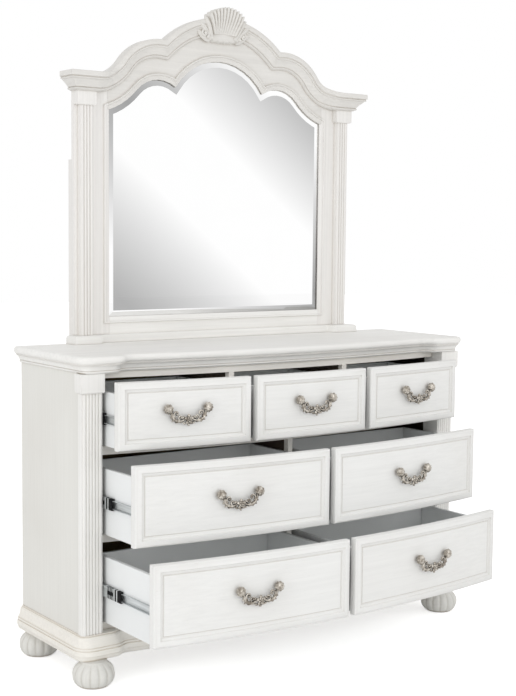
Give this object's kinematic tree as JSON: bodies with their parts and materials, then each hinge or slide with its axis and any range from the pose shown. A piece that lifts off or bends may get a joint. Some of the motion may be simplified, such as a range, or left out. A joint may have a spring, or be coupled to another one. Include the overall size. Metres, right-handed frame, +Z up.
{
  "type": "dresser with mirror",
  "caption": "Bow-front dresser on gadrooned bun feet with reeded pilasters, ball-bearing drawers standing open, bail handles, and a scalloped mirror with a carved shell.",
  "frame": {"origin": "middle of the overall box in plan, on the floor under the feet", "axes": "+X to the right as seen from the front, +Y to the back, +Z up; rest pose has the drawers open as pictured"},
  "size_m": [1.6564, 0.854, 2.2692],
  "materials": {
    "whitewashed_wood": "brushed whitewash with faint grain, satin lacquer",
    "glazed_wood": "warm beige glaze over whitewash",
    "white_board": "smooth white lacquered board",
    "fibreboard": "raw fibreboard",
    "zinc_steel": "zinc-plated rolled steel",
    "pewter": "antique pewter casting",
    "mirror": "silvered and bevelled"
  },
  "bodies": {
    "case": {"top_board": "whitewashed_wood", "cornice_moulding": "whitewashed_wood", "base_board": "glazed_wood", "foot_front_left": "whitewashed_wood", "foot_front_right": "whitewashed_wood", "foot_back_left": "whitewashed_wood", "foot_back_right": "whitewashed_wood", "side_panel_left": "whitewashed_wood", "side_panel_right": "whitewashed_wood", "pilaster_left": "whitewashed_wood", "pilaster_right": "whitewashed_wood", "face_frame": "glazed_wood", "upper_divider": "white_board", "centre_partition": "white_board", "back_panel": "fibreboard", "crown_moulding": "whitewashed_wood", "crest_rail": "whitewashed_wood", "shell_carving": "whitewashed_wood", "stile_left": "whitewashed_wood", "stile_right": "whitewashed_wood", "bottom_rail": "whitewashed_wood", "mirror_glass": "mirror", "mirror_back": "fibreboard", "support_left": "fibreboard", "support_right": "fibreboard"},
    "top_left_drawer": {"top_left_front": "whitewashed_wood", "top_left_box": "white_board", "top_left_handle": "pewter"},
    "top_left_runners": {"top_left_slide_left": "zinc_steel", "top_left_slide_right": "zinc_steel"},
    "top_middle_drawer": {"top_middle_front": "whitewashed_wood", "top_middle_box": "white_board", "top_middle_handle": "pewter"},
    "top_middle_runners": {"top_middle_slide_left": "zinc_steel", "top_middle_slide_right": "zinc_steel"},
    "top_right_drawer": {"top_right_front": "whitewashed_wood", "top_right_box": "white_board", "top_right_handle": "pewter"},
    "top_right_runners": {"top_right_slide_left": "zinc_steel", "top_right_slide_right": "zinc_steel"},
    "middle_left_drawer": {"middle_left_front": "whitewashed_wood", "middle_left_box": "white_board", "middle_left_handle": "pewter"},
    "middle_left_runners": {"middle_left_slide_left": "zinc_steel", "middle_left_slide_right": "zinc_steel"},
    "middle_right_drawer": {"middle_right_front": "whitewashed_wood", "middle_right_box": "white_board", "middle_right_handle": "pewter"},
    "middle_right_runners": {"middle_right_slide_left": "zinc_steel", "middle_right_slide_right": "zinc_steel"},
    "bottom_left_drawer": {"bottom_left_front": "whitewashed_wood", "bottom_left_box": "white_board", "bottom_left_handle": "pewter"},
    "bottom_left_runners": {"bottom_left_slide_left": "zinc_steel", "bottom_left_slide_right": "zinc_steel"},
    "bottom_right_drawer": {"bottom_right_front": "whitewashed_wood", "bottom_right_box": "white_board", "bottom_right_handle": "pewter"},
    "bottom_right_runners": {"bottom_right_slide_left": "zinc_steel", "bottom_right_slide_right": "zinc_steel"}
  },
  "joints": [
    {"name": "top_left_drawer_slide", "type": "slide", "parent": "case", "child": "top_left_drawer", "axis": [0, -1, 0], "range_m": [-0.136, 0.22]},
    {"name": "top_left_runner_slide", "type": "slide", "parent": "case", "child": "top_left_runners", "axis": [0, -1, 0], "range_m": [-0.068, 0.11]},
    {"name": "top_middle_drawer_slide", "type": "slide", "parent": "case", "child": "top_middle_drawer", "axis": [0, -1, 0], "range_m": [-0.136, 0.22]},
    {"name": "top_middle_runner_slide", "type": "slide", "parent": "case", "child": "top_middle_runners", "axis": [0, -1, 0], "range_m": [-0.068, 0.11]},
    {"name": "top_right_drawer_slide", "type": "slide", "parent": "case", "child": "top_right_drawer", "axis": [0, -1, 0], "range_m": [-0.136, 0.22]},
    {"name": "top_right_runner_slide", "type": "slide", "parent": "case", "child": "top_right_runners", "axis": [0, -1, 0], "range_m": [-0.068, 0.11]},
    {"name": "middle_left_drawer_slide", "type": "slide", "parent": "case", "child": "middle_left_drawer", "axis": [0, -1, 0], "range_m": [-0.239, 0.117]},
    {"name": "middle_left_runner_slide", "type": "slide", "parent": "case", "child": "middle_left_runners", "axis": [0, -1, 0], "range_m": [-0.1195, 0.0585]},
    {"name": "middle_right_drawer_slide", "type": "slide", "parent": "case", "child": "middle_right_drawer", "axis": [0, -1, 0], "range_m": [-0.239, 0.117]},
    {"name": "middle_right_runner_slide", "type": "slide", "parent": "case", "child": "middle_right_runners", "axis": [0, -1, 0], "range_m": [-0.1195, 0.0585]},
    {"name": "bottom_left_drawer_slide", "type": "slide", "parent": "case", "child": "bottom_left_drawer", "axis": [0, -1, 0], "range_m": [-0.35, 0.006]},
    {"name": "bottom_left_runner_slide", "type": "slide", "parent": "case", "child": "bottom_left_runners", "axis": [0, -1, 0], "range_m": [-0.175, 0.003]},
    {"name": "bottom_right_drawer_slide", "type": "slide", "parent": "case", "child": "bottom_right_drawer", "axis": [0, -1, 0], "range_m": [-0.35, 0.006]},
    {"name": "bottom_right_runner_slide", "type": "slide", "parent": "case", "child": "bottom_right_runners", "axis": [0, -1, 0], "range_m": [-0.175, 0.003]}
  ],
  "couplings": [
    {"joint": "top_left_runner_slide", "follows": "top_left_drawer_slide", "ratio": 0.5},
    {"joint": "top_middle_runner_slide", "follows": "top_middle_drawer_slide", "ratio": 0.5},
    {"joint": "top_right_runner_slide", "follows": "top_right_drawer_slide", "ratio": 0.5},
    {"joint": "middle_left_runner_slide", "follows": "middle_left_drawer_slide", "ratio": 0.5},
    {"joint": "middle_right_runner_slide", "follows": "middle_right_drawer_slide", "ratio": 0.5},
    {"joint": "bottom_left_runner_slide", "follows": "bottom_left_drawer_slide", "ratio": 0.5},
    {"joint": "bottom_right_runner_slide", "follows": "bottom_right_drawer_slide", "ratio": 0.5}
  ]
}
